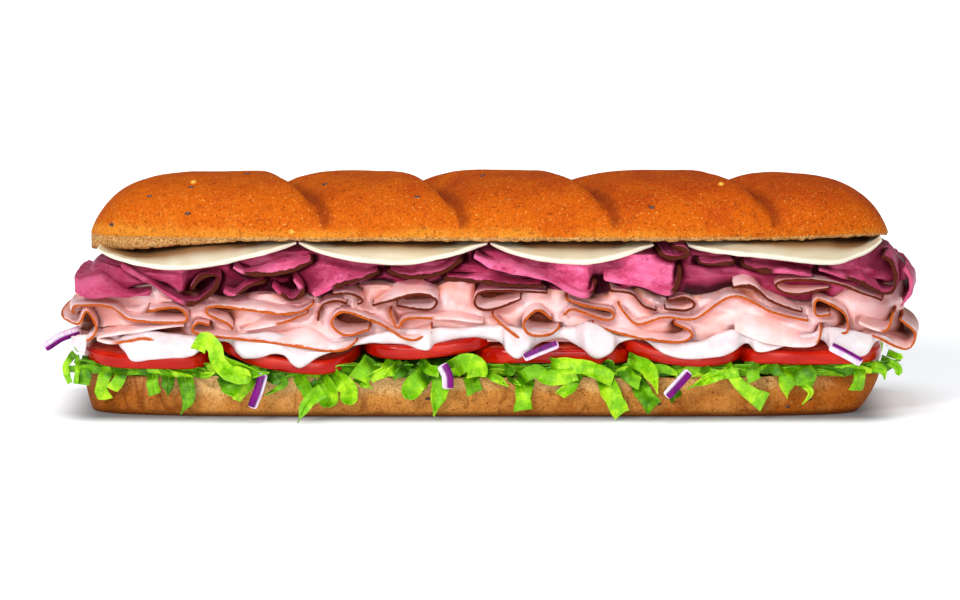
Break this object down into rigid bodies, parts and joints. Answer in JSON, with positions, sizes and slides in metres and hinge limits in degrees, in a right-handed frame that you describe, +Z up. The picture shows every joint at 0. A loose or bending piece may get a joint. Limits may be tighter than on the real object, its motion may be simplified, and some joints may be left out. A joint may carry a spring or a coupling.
{
  "type": "submarine sandwich",
  "caption": "Long scored roll cut in two and filled with cheese, folded roast beef and turkey, sauce, tomato, red onion and shredded lettuce.",
  "frame": {"origin": "on the surface that the heel stands on, under the middle of the whole sandwich", "axes": "+X along the loaf, +Y towards its far side, +Z up"},
  "size_m": [0.337, 0.096, 0.091],
  "materials": {
    "bread_crust": "baked golden-brown crust, dull sheen, fine speckle",
    "bread_heel": "soft baked crust, matte, lightly speckled",
    "cheese": "smooth pale cheese, satin",
    "beef": "moist sliced roast beef, satin, dark seasoned rim",
    "turkey": "moist sliced turkey, satin, browned rim",
    "tomato": "wet tomato skin and flesh",
    "onion": "wet red onion, purple skin side and white flesh",
    "sauce": "thick white sauce, glossy",
    "lettuce": "crisp shredded lettuce, satin"
  },
  "bodies": {
    "root": {"crown": "bread_crust", "heel": "bread_heel", "lettuce": "lettuce", "sauce": "sauce", "cheese_1": "cheese", "cheese_2": "cheese", "cheese_3": "cheese", "cheese_4": "cheese", "tomato_1": "tomato", "tomato_2": "tomato", "tomato_3": "tomato", "tomato_4": "tomato", "tomato_5": "tomato", "tomato_6": "tomato", "onion_1": "onion", "onion_2": "onion", "onion_3": "onion", "onion_4": "onion", "onion_5": "onion", "onion_6": "onion", "beef_01": "beef", "beef_02": "beef", "beef_03": "beef", "beef_04": "beef", "beef_05": "beef", "beef_06": "beef", "beef_07": "beef", "beef_08": "beef", "beef_09": "beef", "beef_10": "beef", "beef_11": "beef", "beef_12": "beef", "beef_13": "beef", "beef_14": "beef", "beef_15": "beef", "turkey_01": "turkey", "turkey_02": "turkey", "turkey_03": "turkey", "turkey_04": "turkey", "turkey_05": "turkey", "turkey_06": "turkey", "turkey_07": "turkey", "turkey_08": "turkey", "turkey_09": "turkey", "turkey_10": "turkey", "turkey_11": "turkey", "turkey_12": "turkey", "turkey_13": "turkey", "turkey_14": "turkey", "turkey_15": "turkey", "turkey_16": "turkey", "turkey_17": "turkey", "turkey_18": "turkey", "turkey_19": "turkey", "turkey_20": "turkey", "turkey_21": "turkey", "turkey_22": "turkey", "turkey_23": "turkey", "turkey_24": "turkey", "turkey_25": "turkey"}
  },
  "joints": []
}
